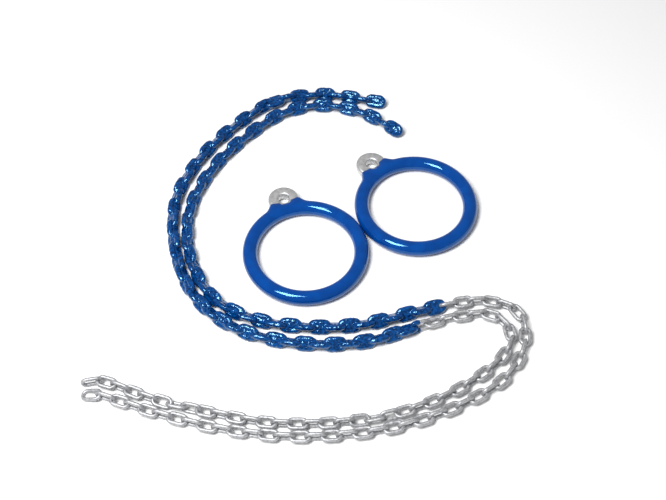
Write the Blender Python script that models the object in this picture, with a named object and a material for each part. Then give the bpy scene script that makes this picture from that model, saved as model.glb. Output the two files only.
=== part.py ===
"""Two gymnastics rings and their two chains, lying loose on one flat surface.

Each ring is a cast-aluminium core with an eye on its outer side, in a thick
plastisol coat. Each chain is a steel chain of oval links: its first links are
coated in plastisol, the others are bare. Metres, +Z up, the surface at z = 0,
and the origin in the middle of the whole layout, on the surface.
"""

import math

import bmesh
import bpy
from mathutils import Vector

# ---- driving dimensions, in metres and radians ----
CLEARANCE = 0.0003             # between pieces that touch

RING_RADIUS = 0.09525          # to the middle of the grip
GRIP_RADIUS = 0.0127
COAT = 0.0025                  # plastisol on the aluminium
RING_STEPS = 36
CORE_SIDES = 6
COAT_SIDES = 8

EYE_CENTRE = 0.118             # from the ring's axis to the middle of the eye and its hole
EYE_RADIUS = 0.0272
EYE_FOOT = 0.097               # where the eye's root ends, inside the grip
EYE_HALF_THICKNESS = 0.0075
EYE_CHAMFER = 0.004
EYE_ARC = math.radians(100)    # each way from the eye's tip
EYE_STEPS = 12
HOLE_RADIUS = 0.0098
HOLE_STEPS = 20
EYE_COAT = 0.0015              # plastisol on the eye's root
COAT_LINE = 0.1125             # where the coat ends on the eye, on a wide arc
COAT_LINE_RADIUS = 0.12
COAT_LINE_STEPS = 60
BARE_COLLAR = 0.012            # and it keeps this far from the middle of the hole

RINGS = {                      # name: centre x, centre y, direction of the eye
    "left_ring": (-0.0087, -0.0098, math.radians(110)),
    "right_ring": (0.1831, 0.0919, math.radians(130.5)),
}

FOOT_GAP = 0.0001              # under the lowest link
END_LIFT = 0.0008              # more under a chain's free end, which may slope down
PITCH = 0.0242                 # from contact to contact, which is a link's inside length
PLAY = 0.0006                  # gap between two links where the chain bends
BITE = 0.0010                  # how deep the links of one rigid run sink into each other
LAST_COATED = 45               # links are counted from 0 at the coated end
CROWN = 0.55                   # a link's end bar, as a part of its half width
CROWN_LENGTH = 0.0042          # along the link, from the end bar to the straight side

# side and end are half sizes of the four-edged bar, and radius is the round bar
# that it stands for, which sets how high the link lies.
BARE = {"half_width": 0.0078, "side": 0.0029, "end": 0.0029, "radius": 0.0029}
COATED = {"half_width": 0.0078, "side": 0.0033, "end": 0.0029, "radius": 0.0048}

# Each route runs through the middle of the chain, from its coated end.
OUTER_ROUTE = [
    (0.129, 0.338), (0.071, 0.352), (0.021, 0.360), (-0.073, 0.339), (-0.147, 0.276),
    (-0.204, 0.198), (-0.239, 0.107), (-0.235, 0.010), (-0.204, -0.082),
    (-0.158, -0.138), (-0.096, -0.174), (-0.002, -0.193), (0.094, -0.188),
    (0.184, -0.157), (0.254, -0.138), (0.301, -0.137), (0.329, -0.174),
    (0.310, -0.218), (0.275, -0.250), (0.215, -0.289), (0.127, -0.323),
    (0.031, -0.337), (-0.065, -0.336), (-0.159, -0.317), (-0.252, -0.292),
    (-0.308, -0.269), (-0.333, -0.261), (-0.356, -0.266),
]
INNER_ROUTE = [
    (0.158, 0.265), (0.127, 0.291), (0.088, 0.315), (0.018, 0.332), (-0.052, 0.314),
    (-0.125, 0.250), (-0.181, 0.172), (-0.213, 0.081), (-0.206, -0.015),
    (-0.163, -0.101), (-0.103, -0.141), (-0.009, -0.160), (0.087, -0.155),
    (0.180, -0.129), (0.251, -0.112), (0.299, -0.110), (0.342, -0.129),
    (0.351, -0.178), (0.335, -0.224), (0.306, -0.262), (0.244, -0.302),
    (0.154, -0.339), (0.058, -0.357), (-0.039, -0.360), (-0.135, -0.347),
    (-0.228, -0.323), (-0.307, -0.295), (-0.331, -0.287), (-0.355, -0.284),
]
ROUTE_STEPS = 40               # points on the smooth curve between two route points

# A link's roll about the chain is 0 where it lies flat. Every second link starts
# from this angle, the others are a quarter turn on. Each twist is
# (first link, last link, turn in degrees).
CHAINS = {
    "outer_chain": {
        "route": OUTER_ROUTE,
        "links": 85,
        "roll": 45,
        "twists": [(6, 10, -90), (44, 48, -45), (63, 67, -90), (76, 80, -90)],
    },
    "inner_chain": {
        "route": INNER_ROUTE,
        "links": 86,
        "roll": 45,
        "twists": [(44, 48, 45)],
    },
}
COATED_RUN = 5                 # links in one rigid run of the coated half
BARE_RUN = 4

BLUE = (0.012, 0.085, 0.42, 1)
CHAIN_BLUE = (0.010, 0.070, 0.33, 1)
ALUMINIUM = (0.72, 0.72, 0.72, 1)
ZINC = (0.50, 0.51, 0.53, 1)


def clear_scene():
    for old in list(bpy.data.objects):
        bpy.data.objects.remove(old, do_unlink=True)


def material(name, colour, roughness, metallic):
    mat = bpy.data.materials.new(name)
    mat.use_nodes = True
    shader = mat.node_tree.nodes["Principled BSDF"]
    shader.inputs["Base Color"].default_value = colour
    shader.inputs["Roughness"].default_value = roughness
    shader.inputs["Metallic"].default_value = metallic
    return mat


def add_object(name, bm):
    bmesh.ops.recalc_face_normals(bm, faces=bm.faces)
    mesh = bpy.data.meshes.new(name)
    bm.to_mesh(mesh)
    bm.free()
    obj = bpy.data.objects.new(name, mesh)
    bpy.context.scene.collection.objects.link(obj)
    return obj


def cut_or_join(obj, other, operation):
    """Apply one exact Boolean to obj and remove the other shape."""
    boolean = obj.modifiers.new(operation, "BOOLEAN")
    boolean.operation = operation
    boolean.solver = "EXACT"
    boolean.object = other
    graph = bpy.context.evaluated_depsgraph_get()
    result = bpy.data.meshes.new_from_object(obj.evaluated_get(graph))
    obj.modifiers.remove(boolean)
    obj.data = result
    bpy.data.objects.remove(other, do_unlink=True)


def loops_to_solid(bm, loops, closed):
    """Bridge equal loops of points; the ends are capped unless the loops close."""
    rows = [[bm.verts.new(p) for p in loop] for loop in loops]
    count = len(rows[0])
    pairs = len(rows) if closed else len(rows) - 1
    for i in range(pairs):
        here, there = rows[i], rows[(i + 1) % len(rows)]
        for k in range(count):
            n = (k + 1) % count
            bm.faces.new((here[k], here[n], there[n], there[k]))
    if not closed:
        bm.faces.new(rows[0])
        bm.faces.new(rows[-1])


# ---- rings ----
def torus(radius, tube, steps, sides):
    """A ring about +Z at the origin, with a corner of the tube straight up and down."""
    bm = bmesh.new()
    loops = []
    for i in range(steps):
        turn = 2 * math.pi * i / steps
        loop = []
        for k in range(sides):
            a = math.pi / 2 + 2 * math.pi * k / sides
            r = radius + tube * math.cos(a)
            loop.append((r * math.cos(turn), r * math.sin(turn), tube * math.sin(a)))
        loops.append(loop)
    loops_to_solid(bm, loops, True)
    return add_object("torus", bm)


def eye_outline(grow, z):
    """The eye seen from above, its tip along +X, grown outwards by grow."""
    radius = EYE_RADIUS + grow
    points = [(EYE_FOOT, -radius, z)]
    for k in range(EYE_STEPS + 1):
        a = -EYE_ARC + 2 * EYE_ARC * k / EYE_STEPS
        points.append((EYE_CENTRE + radius * math.cos(a), radius * math.sin(a), z))
    points.append((EYE_FOOT, radius, z))
    return points


def eye_plate(grow):
    half = EYE_HALF_THICKNESS + grow
    edge = half - EYE_CHAMFER
    bm = bmesh.new()
    loops = [
        eye_outline(grow - EYE_CHAMFER, -half),
        eye_outline(grow, -edge),
        eye_outline(grow, edge),
        eye_outline(grow - EYE_CHAMFER, half),
    ]
    loops_to_solid(bm, loops, False)
    return add_object("eye", bm)


def upright_cylinder(x, radius, half_length, steps):
    bm = bmesh.new()
    loops = []
    for z in (-half_length, half_length):
        loop = []
        for k in range(steps):
            a = 2 * math.pi * (k + 0.5) / steps
            loop.append((x + radius * math.cos(a), radius * math.sin(a), z))
        loops.append(loop)
    loops_to_solid(bm, loops, False)
    return add_object("cylinder", bm)


def ring_core(grow):
    """The casting, or with grow its cavity in the coat: grip and eye, no hole."""
    core = torus(RING_RADIUS, GRIP_RADIUS - COAT + grow, RING_STEPS, CORE_SIDES)
    cut_or_join(core, eye_plate(grow), "UNION")
    return core


def place_ring(obj, name, part, mat):
    x, y, direction = RINGS[name]
    obj.name = f"{name}_{part}"
    obj.data.name = obj.name
    obj.data.materials.clear()
    obj.data.materials.append(mat)
    obj.data.shade_smooth()
    obj.data.set_sharp_from_angle(angle=math.radians(35))
    obj.location = (x, y, GRIP_RADIUS)
    obj.rotation_euler = (0, 0, direction)


def build_rings(aluminium, blue):
    for name in RINGS:
        core = ring_core(0)
        hole = upright_cylinder(EYE_CENTRE, HOLE_RADIUS, 0.02, HOLE_STEPS)
        cut_or_join(core, hole, "DIFFERENCE")
        place_ring(core, name, "core", aluminium)

        coat = torus(RING_RADIUS, GRIP_RADIUS, RING_STEPS, COAT_SIDES)
        cut_or_join(coat, eye_plate(EYE_COAT), "UNION")
        beyond = COAT_LINE + COAT_LINE_RADIUS
        line = upright_cylinder(beyond, COAT_LINE_RADIUS, 0.02, COAT_LINE_STEPS)
        cut_or_join(coat, line, "DIFFERENCE")
        collar = upright_cylinder(EYE_CENTRE, BARE_COLLAR, 0.02, HOLE_STEPS)
        cut_or_join(coat, collar, "DIFFERENCE")
        cut_or_join(coat, ring_core(CLEARANCE), "DIFFERENCE")
        place_ring(coat, name, "coat", blue)


# ---- chains ----
def smooth_curve(route):
    """A centripetal Catmull-Rom curve through the route's points."""
    pts = [Vector(p) for p in route]
    pts = [2 * pts[0] - pts[1]] + pts + [2 * pts[-1] - pts[-2]]
    curve = []
    for i in range(1, len(pts) - 2):
        p = pts[i - 1:i + 3]
        t = [0.0]
        for a, b in zip(p, p[1:]):
            t.append(t[-1] + math.sqrt((b - a).length))
        for k in range(ROUTE_STEPS):
            s = t[1] + (t[2] - t[1]) * k / ROUTE_STEPS
            a = [p[j].lerp(p[j + 1], (s - t[j]) / (t[j + 1] - t[j])) for j in range(3)]
            b = [a[j].lerp(a[j + 1], (s - t[j]) / (t[j + 2] - t[j])) for j in range(2)]
            curve.append(b[0].lerp(b[1], (s - t[1]) / (t[2] - t[1])))
    curve.append(pts[-2])
    return curve


def link_roll(chain, i):
    """How far link i is turned about the chain, in radians."""
    roll = chain["roll"] + 90 * (i % 2)
    for first, last, turn in chain["twists"]:
        roll += turn * min(max((i - first) / (last - first), 0), 1)
    return math.radians(roll)


def link_shape(i):
    return COATED if i <= LAST_COATED else BARE


def resting_height(chain, i):
    """The height of link i's middle when its lower bar lies on the surface."""
    shape = link_shape(i)
    lift = shape["half_width"] * abs(math.sin(link_roll(chain, i)))
    return FOOT_GAP + lift + shape["radius"]


def contact_points(chain):
    """The points where the links touch, evenly along the route."""
    links = chain["links"]
    curve = smooth_curve(chain["route"])
    lengths = [0.0]
    for a, b in zip(curve, curve[1:]):
        lengths.append(lengths[-1] + (b - a).length)
    points = []
    k = 0
    for i in range(links + 1):
        s = lengths[-1] * i / links
        while k < len(curve) - 2 and lengths[k + 1] < s:
            k += 1
        p = curve[k].lerp(curve[k + 1], (s - lengths[k]) / (lengths[k + 1] - lengths[k]))
        touching = [j for j in (i - 1, i) if 0 <= j < links]
        height = max(resting_height(chain, j) for j in touching)
        if len(touching) == 1:
            height += END_LIFT
        points.append(Vector((p.x, p.y, height)))
    return points


def link_frame(points, chain, i):
    """Link i's middle, and its unit axes: along, across its width, and its normal."""
    middle = (points[i] + points[i + 1]) / 2
    along = (points[i + 1] - points[i]).normalized()
    side = Vector((0, 0, 1)).cross(along).normalized()
    up = along.cross(side)
    roll = link_roll(chain, i)
    normal = math.cos(roll) * up + math.sin(roll) * side
    width = math.cos(roll) * side - math.sin(roll) * up
    return middle, along, width, normal


def edges_inwards(size):
    """A bar's four edges, as (outwards, along the link's normal)."""
    return [(size, 0), (0, -size), (-size, 0), (0, size)]


def faces_inwards(size):
    return [(size, size), (size, -size), (-size, -size), (-size, size)]


def link_corners(shape, back, front):
    """The eight corners of a link's centreline: place, outward direction, section.

    back and front are the inside half lengths towards the link's two ends.
    """
    w = shape["half_width"]
    if shape is BARE:
        side_section = edges_inwards(shape["side"])
    else:
        side_section = faces_inwards(shape["side"])
    end_section = edges_inwards(shape["end"])
    ends = (-(back + shape["end"]), front + shape["end"])
    corners = []
    for end in ends:
        way = math.copysign(1, end)
        straight = end - way * CROWN_LENGTH
        side = (straight, w, 0.25 * way, 1, side_section)
        crown = (end, w * CROWN, way, 0.45, end_section)
        mirrored = [(x, -y, dx, -dy, s) for x, y, dx, dy, s in (side, crown)]
        if way > 0:
            corners += [side, crown, mirrored[1], mirrored[0]]
        else:
            corners += [mirrored[0], mirrored[1], crown, side]
    return corners


def link_solid(shape, frame, back, front):
    """One link: a four-edged bar swept round the eight corners."""
    middle, along, width, normal = frame
    bm = bmesh.new()
    loops = []
    for x, y, dx, dy, section in link_corners(shape, back, front):
        loop = []
        for out, lift in section:
            p = middle + along * (x + dx * out) + width * (y + dy * out) + normal * lift
            loop.append(p)
        loops.append(loop)
    loops_to_solid(bm, loops, True)
    return add_object("link", bm)


def chain_runs(links):
    """The rigid runs, as (first link, last link): both end links stand alone."""
    runs = [(0, 0)]
    first = 1
    while first < links - 1:
        if first <= LAST_COATED:
            last = min(first + COATED_RUN - 1, LAST_COATED)
        else:
            last = min(first + BARE_RUN - 1, links - 2)
        runs.append((first, last))
        first = last + 1
    runs.append((links - 1, links - 1))
    return runs


def build_run(name, chain, points, first, last, mat):
    shape = link_shape(last)
    free = (PITCH + PLAY) / 2
    held = (PITCH - BITE) / 2
    run = None
    for i in range(first, last + 1):
        back = free if i == first else held
        front = free if i == last else held
        link = link_solid(shape, link_frame(points, chain, i), back, front)
        if run is None:
            run = link
        else:
            cut_or_join(run, link, "UNION")
    run.name = name
    run.data.name = name
    run.data.materials.clear()
    run.data.materials.append(mat)
    run.data.shade_smooth()
    run.data.set_sharp_from_angle(angle=math.radians(40))


def run_names(chain_name, links):
    names = []
    for n, (first, last) in enumerate(chain_runs(links)):
        if first == 0:
            part = "coated_end_link"
        elif last == links - 1:
            part = "bare_end_link"
        elif last <= LAST_COATED:
            part = f"coated_run_{n:02d}"
        else:
            part = f"bare_run_{n:02d}"
        names.append(f"{chain_name}_{part}")
    return names


def build_chains(zinc, blue):
    for chain_name, chain in CHAINS.items():
        points = contact_points(chain)
        names = run_names(chain_name, chain["links"])
        for name, (first, last) in zip(names, chain_runs(chain["links"])):
            mat = blue if last <= LAST_COATED else zinc
            build_run(name, chain, points, first, last, mat)


def main():
    clear_scene()
    build_rings(
        material("cast_aluminium", ALUMINIUM, 0.45, 0.9),
        material("ring_plastisol", BLUE, 0.22, 0),
    )
    build_chains(
        material("galvanised_steel", ZINC, 0.5, 0.8),
        material("chain_plastisol", CHAIN_BLUE, 0.25, 0),
    )


main()
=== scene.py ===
"""The looks of two coated gymnastics rings and their two part-coated chains.

Every chain run of the frame gets one piece with its links as round bars, and each
ring gets a plastisol coat and a cast eye. Metres, in the frame's own coordinates.
"""

import math

import bmesh
import bpy
from mathutils import Matrix, Vector, noise


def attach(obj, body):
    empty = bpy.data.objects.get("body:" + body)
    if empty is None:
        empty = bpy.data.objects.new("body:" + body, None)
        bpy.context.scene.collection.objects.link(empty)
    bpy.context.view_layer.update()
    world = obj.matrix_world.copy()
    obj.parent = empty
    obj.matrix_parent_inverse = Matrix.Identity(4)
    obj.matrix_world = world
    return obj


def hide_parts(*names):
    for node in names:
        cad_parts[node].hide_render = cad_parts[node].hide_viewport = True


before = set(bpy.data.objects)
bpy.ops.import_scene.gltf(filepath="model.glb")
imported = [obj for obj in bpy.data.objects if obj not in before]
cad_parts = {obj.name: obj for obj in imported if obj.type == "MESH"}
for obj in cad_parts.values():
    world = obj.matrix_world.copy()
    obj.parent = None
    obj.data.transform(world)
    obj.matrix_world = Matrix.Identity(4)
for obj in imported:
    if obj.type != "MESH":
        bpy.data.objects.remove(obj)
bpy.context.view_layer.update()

# ---- the chains' layout, as in the frame's own source ----
FOOT_GAP = 0.0001              # under the lowest link
END_LIFT = 0.0008              # more under a chain's free end
PITCH = 0.0242                 # from contact to contact
LAST_COATED = 45               # links are counted from 0 at the coated end
BARE_HALF_WIDTH = 0.0078       # to the middle of the bar, as all half widths and ends
BARE_RADIUS = 0.0029
BARE_END = PITCH / 2 + BARE_RADIUS
COATED_HALF_WIDTH = 0.0078
COATED_RADIUS = 0.0048         # sets how high a coated link lies
COATED_RUN = 5                 # links in one rigid run
BARE_RUN = 4
ROUTE_STEPS = 40
ROLL_WOBBLE = math.radians(2.5)
ROLL_WOBBLE_TURN = 7.3         # radians from link to link

OUTER_ROUTE = [
    (0.129, 0.338), (0.071, 0.352), (0.021, 0.360), (-0.073, 0.339), (-0.147, 0.276),
    (-0.204, 0.198), (-0.239, 0.107), (-0.235, 0.010), (-0.204, -0.082),
    (-0.158, -0.138), (-0.096, -0.174), (-0.002, -0.193), (0.094, -0.188),
    (0.184, -0.157), (0.254, -0.138), (0.301, -0.137), (0.329, -0.174),
    (0.310, -0.218), (0.275, -0.250), (0.215, -0.289), (0.127, -0.323),
    (0.031, -0.337), (-0.065, -0.336), (-0.159, -0.317), (-0.252, -0.292),
    (-0.308, -0.269), (-0.333, -0.261), (-0.356, -0.266),
]
INNER_ROUTE = [
    (0.158, 0.265), (0.127, 0.291), (0.088, 0.315), (0.018, 0.332), (-0.052, 0.314),
    (-0.125, 0.250), (-0.181, 0.172), (-0.213, 0.081), (-0.206, -0.015),
    (-0.163, -0.101), (-0.103, -0.141), (-0.009, -0.160), (0.087, -0.155),
    (0.180, -0.129), (0.251, -0.112), (0.299, -0.110), (0.342, -0.129),
    (0.351, -0.178), (0.335, -0.224), (0.306, -0.262), (0.244, -0.302),
    (0.154, -0.339), (0.058, -0.357), (-0.039, -0.360), (-0.135, -0.347),
    (-0.228, -0.323), (-0.307, -0.295), (-0.331, -0.287), (-0.355, -0.284),
]
CHAINS = {
    "outer_chain": {
        "route": OUTER_ROUTE,
        "links": 85,
        "roll": 45,
        "twists": [(6, 10, -90), (44, 48, -45), (63, 67, -90), (76, 80, -90)],
        "half_dipped": 46,
    },
    "inner_chain": {
        "route": INNER_ROUTE,
        "links": 86,
        "roll": 45,
        "twists": [(44, 48, 45)],
        "half_dipped": None,
    },
}

# ---- the links' bars ----
ZINC_LAYER = 0.0002            # rough zinc on the wire
WELD_HEIGHT = 0.00030
WELD_PLACE = 0.0004            # along the side, from its middle
WELD_LENGTH = 0.0013
BARE_WOBBLE = 0.00016
BARE_SIDES = 12
BARE_STEPS = (14, 6)           # round each end, along each side
COATED_END = 0.0158
COATED_FLAT = 0.0060           # half length of a coated link's straight side
COATED_END_RADIUS = 0.0046
COATED_SIDE_MORE = 0.0005      # a coated link's side bars are thicker than its ends
COATED_WOBBLE = 0.0002
COATED_SIDES = 14
COATED_STEPS = (16, 6)
WOBBLE_SCALE = 260
WEB_HALF_SIZE = (0.0134, 0.0078, 0.0054)
WEB_STEPS, WEB_SIDES = 12, 24

# ---- the coats' skins: voxel, smoothing, how lumpy, and faces ----
COATED_SKIN = {"voxel": 0.0008, "smooth_steps": 4, "lump": 0.0006, "lump_scale": 240}
COATED_FACES = 1150            # for each link
HALF_DIP_SKIN = {"voxel": 0.0006, "smooth_steps": 4, "lump": 0.0003, "lump_scale": 190}
HALF_DIP_FACES = 1200
HALF_DIP_LIMIT = 0.0015        # how far past the link's middle the dip reaches
HALF_DIP_RADIUS = 0.0044
HALF_DIP_EDGE_RADIUS = 0.0031
HALF_DIP_END_RADIUS = 0.0035

# ---- the rings ----
RING_RADIUS = 0.09525
GRIP_RADIUS = 0.0127
EYE_CENTRE = 0.118
EYE_RADIUS = 0.0272
EYE_HALF_THICKNESS = 0.0075
EYE_ROUNDING = 0.0055          # of the rim
EYE_CROWN = 0.0002             # how much the cheeks and the rim bulge
HOLE_RADIUS = 0.0098
HOLE_EDGE = 0.0026             # rounding of the hole's edge
HOLE_EDGE_DEPTH = 1.3          # and how much deeper than wide it is
BARE_COLLAR = 0.012            # the coat keeps this far from the middle of the hole
COAT_LINE = 0.1125             # where the coat ends on the eye, from the ring's axis
COAT_LINE_BOW = 0.0025         # and how much further out at the eye's sides
EYE_SIDE = 12                  # degrees from the eye's middle to its side
FILLET_START = 22              # degrees from the eye's middle to where the coat swells
FILLET_HEIGHT = 0.011
FILLET_POWER = 1.6
RINGS = {
    "left_ring": (-0.0087, -0.0098, math.radians(110)),
    "right_ring": (0.1831, 0.0919, math.radians(130.5)),
}


# ---------------------------------------------------------------- layout
def smooth_curve(route):
    """A centripetal Catmull-Rom curve through the route's points."""
    pts = [Vector(p) for p in route]
    pts = [2 * pts[0] - pts[1]] + pts + [2 * pts[-1] - pts[-2]]
    curve = []
    for i in range(1, len(pts) - 2):
        p = pts[i - 1:i + 3]
        t = [0.0]
        for a, b in zip(p, p[1:]):
            t.append(t[-1] + math.sqrt((b - a).length))
        for k in range(ROUTE_STEPS):
            s = t[1] + (t[2] - t[1]) * k / ROUTE_STEPS
            a = [p[j].lerp(p[j + 1], (s - t[j]) / (t[j + 1] - t[j])) for j in range(3)]
            b = [a[j].lerp(a[j + 1], (s - t[j]) / (t[j + 2] - t[j])) for j in range(2)]
            curve.append(b[0].lerp(b[1], (s - t[1]) / (t[2] - t[1])))
    curve.append(pts[-2])
    return curve


def link_roll(chain, i):
    roll = chain["roll"] + 90 * (i % 2)
    for first, last, turn in chain["twists"]:
        roll += turn * min(max((i - first) / (last - first), 0), 1)
    return math.radians(roll)


def resting_height(chain, i):
    coated = i <= LAST_COATED
    half = COATED_HALF_WIDTH if coated else BARE_HALF_WIDTH
    radius = COATED_RADIUS if coated else BARE_RADIUS
    return FOOT_GAP + half * abs(math.sin(link_roll(chain, i))) + radius


def contact_points(chain):
    links = chain["links"]
    curve = smooth_curve(chain["route"])
    lengths = [0.0]
    for a, b in zip(curve, curve[1:]):
        lengths.append(lengths[-1] + (b - a).length)
    points = []
    k = 0
    for i in range(links + 1):
        s = lengths[-1] * i / links
        while k < len(curve) - 2 and lengths[k + 1] < s:
            k += 1
        p = curve[k].lerp(curve[k + 1], (s - lengths[k]) / (lengths[k + 1] - lengths[k]))
        touching = [j for j in (i - 1, i) if 0 <= j < links]
        height = max(resting_height(chain, j) for j in touching)
        if len(touching) == 1:
            height += END_LIFT
        points.append(Vector((p.x, p.y, height)))
    return points


def link_matrix(points, chain, i):
    """Link i's own frame: X along the chain, Y across the link, Z its normal."""
    middle = (points[i] + points[i + 1]) / 2
    along = (points[i + 1] - points[i]).normalized()
    side = Vector((0, 0, 1)).cross(along).normalized()
    up = along.cross(side)
    wobble = ROLL_WOBBLE * math.sin(ROLL_WOBBLE_TURN * i + chain["links"])
    roll = link_roll(chain, i) + wobble
    width = math.cos(roll) * side - math.sin(roll) * up
    normal = along.cross(width)
    matrix = Matrix((along, width, normal)).transposed().to_4x4()
    matrix.translation = middle
    return matrix


def chain_runs(links):
    runs = [(0, 0)]
    first = 1
    while first < links - 1:
        if first <= LAST_COATED:
            last = min(first + COATED_RUN - 1, LAST_COATED)
        else:
            last = min(first + BARE_RUN - 1, links - 2)
        runs.append((first, last))
        first = last + 1
    runs.append((links - 1, links - 1))
    return runs


def run_names(chain_name, links):
    names = []
    for n, (first, last) in enumerate(chain_runs(links)):
        if first == 0:
            part = "coated_end_link"
        elif last == links - 1:
            part = "bare_end_link"
        elif last <= LAST_COATED:
            part = f"coated_run_{n:02d}"
        else:
            part = f"bare_run_{n:02d}"
        names.append(f"{chain_name}_{part}")
    return names


# ---------------------------------------------------------------- mesh helpers
def new_piece(name, mesh, material, slot, body, *nodes):
    """An object that rides on body and stands for the CAD nodes."""
    mesh.materials.clear()
    mesh.materials.append(material)
    mesh.shade_smooth()
    obj = bpy.data.objects.new(name, mesh)
    bpy.context.scene.collection.objects.link(obj)
    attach(obj, body)
    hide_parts(*nodes)
    return obj


def add_grid(bm, rows, close_rows=True):
    """Quads between equal closed loops of points; the rows close on themselves or get caps."""
    verts = [[bm.verts.new(p) for p in row] for row in rows]
    count = len(rows[0])
    for i in range(len(rows) if close_rows else len(rows) - 1):
        here, there = verts[i], verts[(i + 1) % len(rows)]
        for k in range(count):
            n = (k + 1) % count
            bm.faces.new((here[k], there[k], there[n], here[n]))
    if not close_rows:
        bm.faces.new(list(reversed(verts[0])))
        bm.faces.new(verts[-1])


def mesh_from(bm, name):
    bmesh.ops.recalc_face_normals(bm, faces=bm.faces)
    mesh = bpy.data.meshes.new(name)
    bm.to_mesh(mesh)
    bm.free()
    return mesh


def link_path(half_width, end, flat, steps):
    """A link's centreline, as [(x, y, outward x, outward y)]: straight sides out to flat
    and half an ellipse from there to each end."""
    steps_round, steps_side = steps
    path = []
    bow = end - flat
    for way in (1, -1):
        for k in range(steps_round):
            a = -math.pi / 2 + math.pi * k / steps_round
            x = way * (flat + bow * math.cos(a))
            y = way * half_width * math.sin(a)
            out = Vector((way * math.cos(a) / bow, way * math.sin(a) / half_width)).normalized()
            path.append((x, y, out.x, out.y))
        for k in range(steps_side):
            s = k / steps_side
            path.append((way * flat * (1 - 2 * s), way * half_width, 0.0, float(way)))
    return path


def add_link(bm, matrix, path, radius_at, sides, wobble, seed):
    """A round bar swept along a link's centreline. radius_at(x, y) gives its radius."""
    rows = []
    for x, y, ox, oy in path:
        r = radius_at(x, y)
        row = []
        for k in range(sides):
            a = 2 * math.pi * k / sides
            p = Vector((x + ox * r * math.cos(a), y + oy * r * math.cos(a), r * math.sin(a)))
            out = Vector((ox * math.cos(a), oy * math.cos(a), math.sin(a)))
            q = p * WOBBLE_SCALE + Vector((seed * 3.7, seed * 1.3, 0))
            row.append(matrix @ (p + out * wobble * noise.noise(q)))
        rows.append(row)
    add_grid(bm, rows)


# ---------------------------------------------------------------- materials
def shader_material(name):
    mat = bpy.data.materials.new(name)
    mat.use_nodes = True
    tree = mat.node_tree
    return mat, tree, tree.nodes["Principled BSDF"]


def noise_node(tree, scale, detail, roughness=0.5):
    coords = tree.nodes.new("ShaderNodeTexCoord")
    node = tree.nodes.new("ShaderNodeTexNoise")
    node.inputs["Scale"].default_value = scale
    node.inputs["Detail"].default_value = detail
    node.inputs["Roughness"].default_value = roughness
    tree.links.new(coords.outputs["Object"], node.inputs["Vector"])
    return node


def ramp(tree, source, stops):
    node = tree.nodes.new("ShaderNodeValToRGB")
    elements = node.color_ramp.elements
    while len(elements) < len(stops):
        elements.new(0.5)
    for element, (place, colour) in zip(elements, stops):
        element.position = place
        element.color = (*colour, 1)
    tree.links.new(source, node.inputs["Fac"])
    return node


def bump(tree, shader, height, distance, strength=1.0, after=None):
    node = tree.nodes.new("ShaderNodeBump")
    node.inputs["Strength"].default_value = strength
    node.inputs["Distance"].default_value = distance
    tree.links.new(height, node.inputs["Height"])
    if after is not None:
        tree.links.new(after.outputs["Normal"], node.inputs["Normal"])
    tree.links.new(node.outputs["Normal"], shader.inputs["Normal"])
    return node


def vary(tree, shader, socket, source, low, high):
    node = tree.nodes.new("ShaderNodeMapRange")
    node.inputs["To Min"].default_value = low
    node.inputs["To Max"].default_value = high
    tree.links.new(source, node.inputs["Value"])
    tree.links.new(node.outputs["Result"], shader.inputs[socket])


def plastisol(name, dark, light, cloud_scale, lump_scale, lump_depth, roughness, shine, tint):
    """A glossy dip: blue clouded at random from dark to light, lumps of the given size and a fine
    skin. Where dark and light lie far apart, as on the chain, the clouds are painted shade and
    painted reflection patches.
    """
    mat, tree, shader = shader_material(name)
    cloud = noise_node(tree, cloud_scale, 3)
    # base colour from the clouds: on the chain, painted shade and painted reflection patches at
    # random places
    colours = ramp(tree, cloud.outputs["Fac"], [(0.38, dark), (0.62, light)])
    tree.links.new(colours.outputs["Color"], shader.inputs["Base Color"])
    vary(tree, shader, "Roughness", cloud.outputs["Fac"], *roughness)
    lumps = noise_node(tree, lump_scale, 2)
    first = bump(tree, shader, lumps.outputs["Fac"], lump_depth)
    fine = noise_node(tree, 1400, 2)
    bump(tree, shader, fine.outputs["Fac"], 0.00003, 0.5, first)
    shader.inputs["Specular IOR Level"].default_value = shine
    shader.inputs["Specular Tint"].default_value = (*tint, 1)
    return mat


def galvanised():
    mat, tree, shader = shader_material("galvanised_wire")
    cloud = noise_node(tree, 330, 4, 0.6)
    colours = ramp(
        tree,
        cloud.outputs["Fac"],
        [(0.30, (0.27, 0.275, 0.29)), (0.52, (0.46, 0.465, 0.48)), (0.75, (0.66, 0.665, 0.67))],
    )
    tree.links.new(colours.outputs["Color"], shader.inputs["Base Color"])
    vary(tree, shader, "Roughness", cloud.outputs["Fac"], 0.42, 0.60)
    grain = noise_node(tree, 1500, 3, 0.6)
    first = bump(tree, shader, grain.outputs["Fac"], 0.00008, 0.7)
    dents = noise_node(tree, 420, 2)
    bump(tree, shader, dents.outputs["Fac"], 0.0003, 0.6, first)
    shader.inputs["Metallic"].default_value = 0.7
    return mat


def cast_aluminium():
    mat, tree, shader = shader_material("cast_aluminium_eye")
    cloud = noise_node(tree, 160, 4, 0.6)
    colours = ramp(
        tree,
        cloud.outputs["Fac"],
        [(0.30, (0.56, 0.56, 0.565)), (0.70, (0.78, 0.78, 0.78))],
    )
    tree.links.new(colours.outputs["Color"], shader.inputs["Base Color"])
    vary(tree, shader, "Roughness", cloud.outputs["Fac"], 0.34, 0.50)
    sand = noise_node(tree, 1300, 3, 0.6)
    bump(tree, shader, sand.outputs["Fac"], 0.00012, 0.6)
    shader.inputs["Metallic"].default_value = 0.8
    return mat


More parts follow.
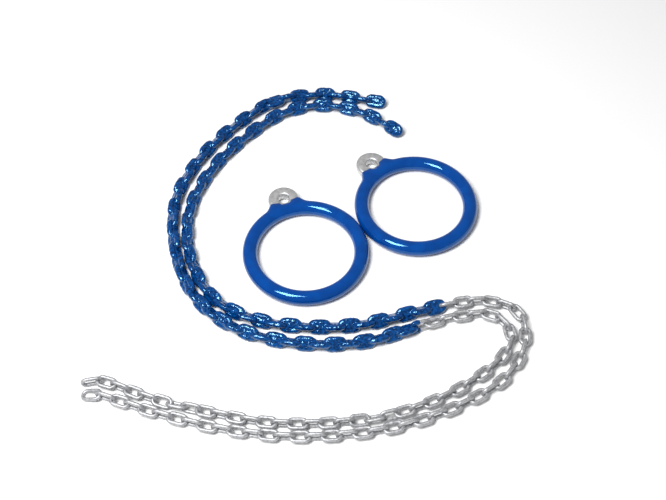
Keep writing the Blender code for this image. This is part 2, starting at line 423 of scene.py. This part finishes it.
RING_BLUE = plastisol(
    "ring_plastisol",
    dark=(0.0001, 0.040, 0.235),
    light=(0.0001, 0.052, 0.285),
    cloud_scale=45,
    lump_scale=30,
    lump_depth=0.0002,
    roughness=(0.03, 0.06),
    shine=0.75,
    tint=(0.3, 0.75, 1.0),
)
# the chain's wide step from dark to light is painted shade and painted reflection: random dark and
# bright patches in the coat's colour
CHAIN_BLUE = plastisol(
    "chain_plastisol",
    dark=(0.0000, 0.012, 0.072),
    light=(0.0002, 0.062, 0.27),
    cloud_scale=260,
    lump_scale=150,
    lump_depth=0.0015,
    roughness=(0.02, 0.06),
    shine=1.0,
    tint=(0.35, 0.74, 1.0),
)
ZINC = galvanised()
CAST = cast_aluminium()


# ---------------------------------------------------------------- rings
def smooth_step(x):
    x = min(max(x, 0.0), 1.0)
    return x * x * (3 - 2 * x)


def soft_min(a, b, width):
    h = min(max(0.5 + 0.5 * (b - a) / width, 0), 1)
    return b + (a - b) * h - width * h * (1 - h)


def coat_reach(phi):
    """How far the coat reaches from the ring's axis, at phi from the eye."""
    plain = RING_RADIUS + GRIP_RADIUS
    degrees = abs(math.degrees(phi))
    if degrees > FILLET_START:
        return plain
    rise = (FILLET_START - degrees) / (FILLET_START - EYE_SIDE)
    fillet = plain + FILLET_HEIGHT * rise ** FILLET_POWER
    line = (COAT_LINE + COAT_LINE_BOW * (degrees / EYE_SIDE) ** 2) / math.cos(phi)
    across = EYE_CENTRE * math.sin(phi)
    if abs(across) < BARE_COLLAR:
        collar = EYE_CENTRE * math.cos(phi) - math.sqrt(BARE_COLLAR ** 2 - across ** 2)
        line = soft_min(line, collar, 0.002)
    return -soft_min(-soft_min(fillet, line, 0.004), -plain, 0.001)


def ring_coat_mesh(name):
    """The coat as a torus whose outer side runs out round the eye's root.
    Its sections are half a degree apart near the eye, and four degrees elsewhere."""
    sides = 32
    near = 24
    turns = [math.radians(d / 2) for d in range(-2 * near, 2 * near + 1)]
    turns += [math.radians(near + 4 * k) for k in range(1, 78)]
    rows = []
    for phi in turns:
        reach = coat_reach(phi) - RING_RADIUS
        grown = (reach - GRIP_RADIUS) / GRIP_RADIUS
        power = 2 + 0.9 * smooth_step(grown)
        row = []
        for k in range(sides):
            a = 2 * math.pi * k / sides
            c, s = math.cos(a), math.sin(a)
            if c > 0:
                r = RING_RADIUS + reach * c ** (2 / power)
                z = math.copysign(GRIP_RADIUS * abs(s) ** (2 / power), s)
            else:
                r = RING_RADIUS + GRIP_RADIUS * c
                z = GRIP_RADIUS * s
            row.append((r * math.cos(phi), r * math.sin(phi), z))
        rows.append(row)
    bm = bmesh.new()
    add_grid(bm, rows)
    return mesh_from(bm, name)


def eye_mesh(name):
    """The cast eye: a thick rounded plate with a round-edged hole."""
    rim = EYE_RADIUS - EYE_ROUNDING
    cheek = HOLE_RADIUS + HOLE_EDGE
    depth = HOLE_EDGE_DEPTH * HOLE_EDGE
    top = [(HOLE_RADIUS, 0), (HOLE_RADIUS, EYE_HALF_THICKNESS - depth)]
    for k in range(1, 5):
        a = math.pi / 2 * k / 4
        drop = depth * (1 - math.sin(a))
        top.append((cheek - HOLE_EDGE * math.cos(a), EYE_HALF_THICKNESS - drop))
    for u in (0.3, 0.7):
        top.append((cheek + (rim - cheek) * u, EYE_HALF_THICKNESS + EYE_CROWN))
    for k in range(8):
        a = math.pi / 2 * k / 8
        drop = 0.9 * EYE_ROUNDING * (1 - math.cos(a))
        top.append((rim + EYE_ROUNDING * math.sin(a), EYE_HALF_THICKNESS - drop))
    under = [(r, -z) for r, z in reversed(top[1:])]
    section = top + [(EYE_RADIUS + EYE_CROWN, 0)] + under
    turns = 72
    rows = []
    for i in range(turns):
        t = 2 * math.pi * i / turns
        c, s = math.cos(t), math.sin(t)
        rows.append([(EYE_CENTRE + r * c, r * s, z) for r, z in section])
    bm = bmesh.new()
    add_grid(bm, rows)
    return mesh_from(bm, name)


def build_rings():
    for ring, (x, y, direction) in RINGS.items():
        place = Matrix.Translation((x, y, GRIP_RADIUS)) @ Matrix.Rotation(direction, 4, "Z")
        coat = ring_coat_mesh(f"{ring}_coat_mesh")
        coat.transform(place)
        new_piece(f"{ring}_plastisol_coat", coat, RING_BLUE, "ring_plastisol", ring, f"{ring}_coat")
        eye = eye_mesh(f"{ring}_eye_mesh")
        eye.transform(place)
        new_piece(f"{ring}_cast_eye", eye, CAST, "cast_aluminium", ring, f"{ring}_core")


# ---------------------------------------------------------------- chains
def bare_radius(seed):
    """A bar of wire with its weld: a low swelling in the middle of one side."""
    side = 1 if seed % 2 else -1

    def radius(x, y):
        r = BARE_RADIUS + ZINC_LAYER
        if y * side > 0:
            r += WELD_HEIGHT * math.exp(-((x - WELD_PLACE) / WELD_LENGTH) ** 2)
        return r

    return radius


def coated_radius(x, y):
    """A thick dipped bar, a little thinner at the ends, which lie in the next links."""
    across = abs(y) / COATED_HALF_WIDTH
    return COATED_END_RADIUS + COATED_SIDE_MORE * smooth_step((across - 0.25) / 0.7)


def add_web(bm, matrix):
    """Plastisol that closes the middle of a link."""
    length, width, thickness = WEB_HALF_SIZE
    rows = []
    for i in range(1, WEB_STEPS):
        a = math.pi * i / WEB_STEPS
        row = []
        for k in range(WEB_SIDES):
            b = 2 * math.pi * k / WEB_SIDES
            p = Vector((
                length * math.sin(a) * math.cos(b),
                width * math.sin(a) * math.sin(b),
                -thickness * math.cos(a),
            ))
            row.append(matrix @ p)
        rows.append(row)
    add_grid(bm, rows, close_rows=False)


def fused(name, bm, faces, seed, voxel, smooth_steps, lump, lump_scale):
    """One skin round everything in bm, smoothed, a little lumpy, with about that many faces."""
    rough = bpy.data.meshes.new(name + "_rough")
    bmesh.ops.recalc_face_normals(bm, faces=bm.faces)
    bm.to_mesh(rough)
    bm.free()
    obj = bpy.data.objects.new(name + "_rough", rough)
    bpy.context.scene.collection.objects.link(obj)
    remesh = obj.modifiers.new("skin", "REMESH")
    remesh.mode = "VOXEL"
    remesh.voxel_size = voxel
    smooth = obj.modifiers.new("smooth", "SMOOTH")
    smooth.factor = 0.5
    smooth.iterations = smooth_steps
    graph = bpy.context.evaluated_depsgraph_get()
    dense = bpy.data.meshes.new_from_object(obj.evaluated_get(graph))
    shift = Vector((seed, 0, 0))
    moved = []
    for co, normal in [(v.co.copy(), v.normal.copy()) for v in dense.vertices]:
        place = co + normal * lump * noise.noise(co * lump_scale + shift)
        moved.extend((place.x, place.y, max(place.z, 0.0)))
    dense.vertices.foreach_set("co", moved)
    obj.modifiers.clear()
    obj.data = dense
    decimate = obj.modifiers.new("fewer", "DECIMATE")
    decimate.ratio = min(1.0, faces / (2 * len(dense.polygons)))
    graph = bpy.context.evaluated_depsgraph_get()
    final = bpy.data.meshes.new_from_object(obj.evaluated_get(graph))
    bpy.data.objects.remove(obj)
    bpy.data.meshes.remove(rough)
    final.name = name
    return final


def coated_run(name, chain, points, first, last):
    bm = bmesh.new()
    path = link_path(COATED_HALF_WIDTH, COATED_END, COATED_FLAT, COATED_STEPS)
    for i in range(first, last + 1):
        matrix = link_matrix(points, chain, i)
        add_link(bm, matrix, path, coated_radius, COATED_SIDES, COATED_WOBBLE, i)
        add_web(bm, matrix)
    faces = COATED_FACES * (last - first + 1)
    return fused(name, bm, faces, first * 0.37, **COATED_SKIN)


def bare_run(name, chain, points, first, last):
    bm = bmesh.new()
    path = link_path(BARE_HALF_WIDTH, BARE_END, BARE_END - BARE_HALF_WIDTH, BARE_STEPS)
    for i in range(first, last + 1):
        matrix = link_matrix(points, chain, i)
        add_link(bm, matrix, path, bare_radius(i), BARE_SIDES, BARE_WOBBLE, i)
    return mesh_from(bm, name)


def half_dip(name, chain, points, i):
    """The coat on the near half of the link that was only half dipped."""
    matrix = link_matrix(points, chain, i)
    bm = bmesh.new()
    path = link_path(BARE_HALF_WIDTH, BARE_END, BARE_END - BARE_HALF_WIDTH, (14, 8))
    near = [p for p in path if p[0] < HALF_DIP_LIMIT]
    near.sort(key=lambda p: math.atan2(p[1], -p[0] + 0.0001))
    rows = []
    last = len(near) - 1
    for n, (x, y, ox, oy) in enumerate(near):
        edge = min(n, last - n)
        r = HALF_DIP_RADIUS if edge > 1 else HALF_DIP_EDGE_RADIUS + 0.0006 * edge
        if abs(y) < 0.003:
            r = HALF_DIP_END_RADIUS
        row = []
        for k in range(COATED_SIDES):
            a = 2 * math.pi * k / COATED_SIDES
            out, up = r * math.cos(a), r * math.sin(a)
            row.append(matrix @ Vector((x + ox * out, y + oy * out, up)))
        rows.append(row)
    add_grid(bm, rows, close_rows=False)
    return fused(name, bm, HALF_DIP_FACES, 5.1, **HALF_DIP_SKIN)


def build_chains():
    for chain_name, chain in CHAINS.items():
        points = contact_points(chain)
        names = run_names(chain_name, chain["links"])
        for body, (first, last) in zip(names, chain_runs(chain["links"])):
            piece = body + "_round"
            if "_run_" in body:
                piece = body.replace("_run_", "_links_")
            if last <= LAST_COATED:
                mesh = coated_run(piece, chain, points, first, last)
                new_piece(piece, mesh, CHAIN_BLUE, "chain_plastisol", body, body)
            else:
                mesh = bare_run(piece, chain, points, first, last)
                new_piece(piece, mesh, ZINC, "galvanised_steel", body, body)
            dipped = chain["half_dipped"]
            if dipped is not None and first <= dipped <= last:
                mesh = half_dip(f"{chain_name}_half_dip", chain, points, dipped)
                new_piece(f"{chain_name}_half_dip", mesh, CHAIN_BLUE, "chain_plastisol", body)


# ---------------------------------------------------------------- surroundings
def build_floor():
    mesh = bpy.data.meshes.new("floor")
    half = 9
    corners = [(-half, -half, 0), (half, -half, 0), (half, half, 0), (-half, half, 0)]
    mesh.from_pydata(corners, [], [(0, 1, 2, 3)])
    floor = bpy.data.objects.new("floor", mesh)
    bpy.context.scene.collection.objects.link(floor)
    floor.location.z = -0.0002
    mat, tree, shader = shader_material("floor_white")
    shader.inputs["Base Color"].default_value = (0.92, 0.92, 0.92, 1)
    shader.inputs["Roughness"].default_value = 0.9
    shader.inputs["Specular IOR Level"].default_value = 0.1
    mesh.materials.append(mat)


def area_light(name, place, target, size, size_y, power):
    data = bpy.data.lights.new(name, "AREA")
    data.shape = "RECTANGLE"
    data.size = size
    data.size_y = size_y
    data.energy = power
    obj = bpy.data.objects.new(name, data)
    obj.location = place
    aim = Vector(target) - Vector(place)
    obj.rotation_euler = aim.to_track_quat("-Z", "Y").to_euler()
    bpy.context.scene.collection.objects.link(obj)


def build_light():
    world = bpy.data.worlds.new("studio")
    bpy.context.scene.world = world
    world.use_nodes = True
    back = world.node_tree.nodes["Background"]
    back.inputs["Color"].default_value = (1.0, 1.0, 1.0, 1)
    back.inputs["Strength"].default_value = 0.32
    area_light("key", (-0.75, -0.75, 2.3), (0.05, 0.0, 0), 0.8, 1.2, 80)


def build_camera():
    distance, pitch = 2.1054, math.radians(53.70)
    centre = Vector((0.0377, 0.0030, 0))
    data = bpy.data.cameras.new("camera")
    data.sensor_width = 36
    data.lens = 66.17
    camera = bpy.data.objects.new("camera", data)
    camera.location = centre + Vector((0, -distance * math.cos(pitch), distance * math.sin(pitch)))
    camera.rotation_euler = (math.pi / 2 - pitch, 0, 0)
    bpy.context.scene.collection.objects.link(camera)
    bpy.context.scene.camera = camera


build_rings()
build_chains()
build_floor()
build_light()
build_camera()
bpy.context.scene.view_settings.view_transform = "Standard"
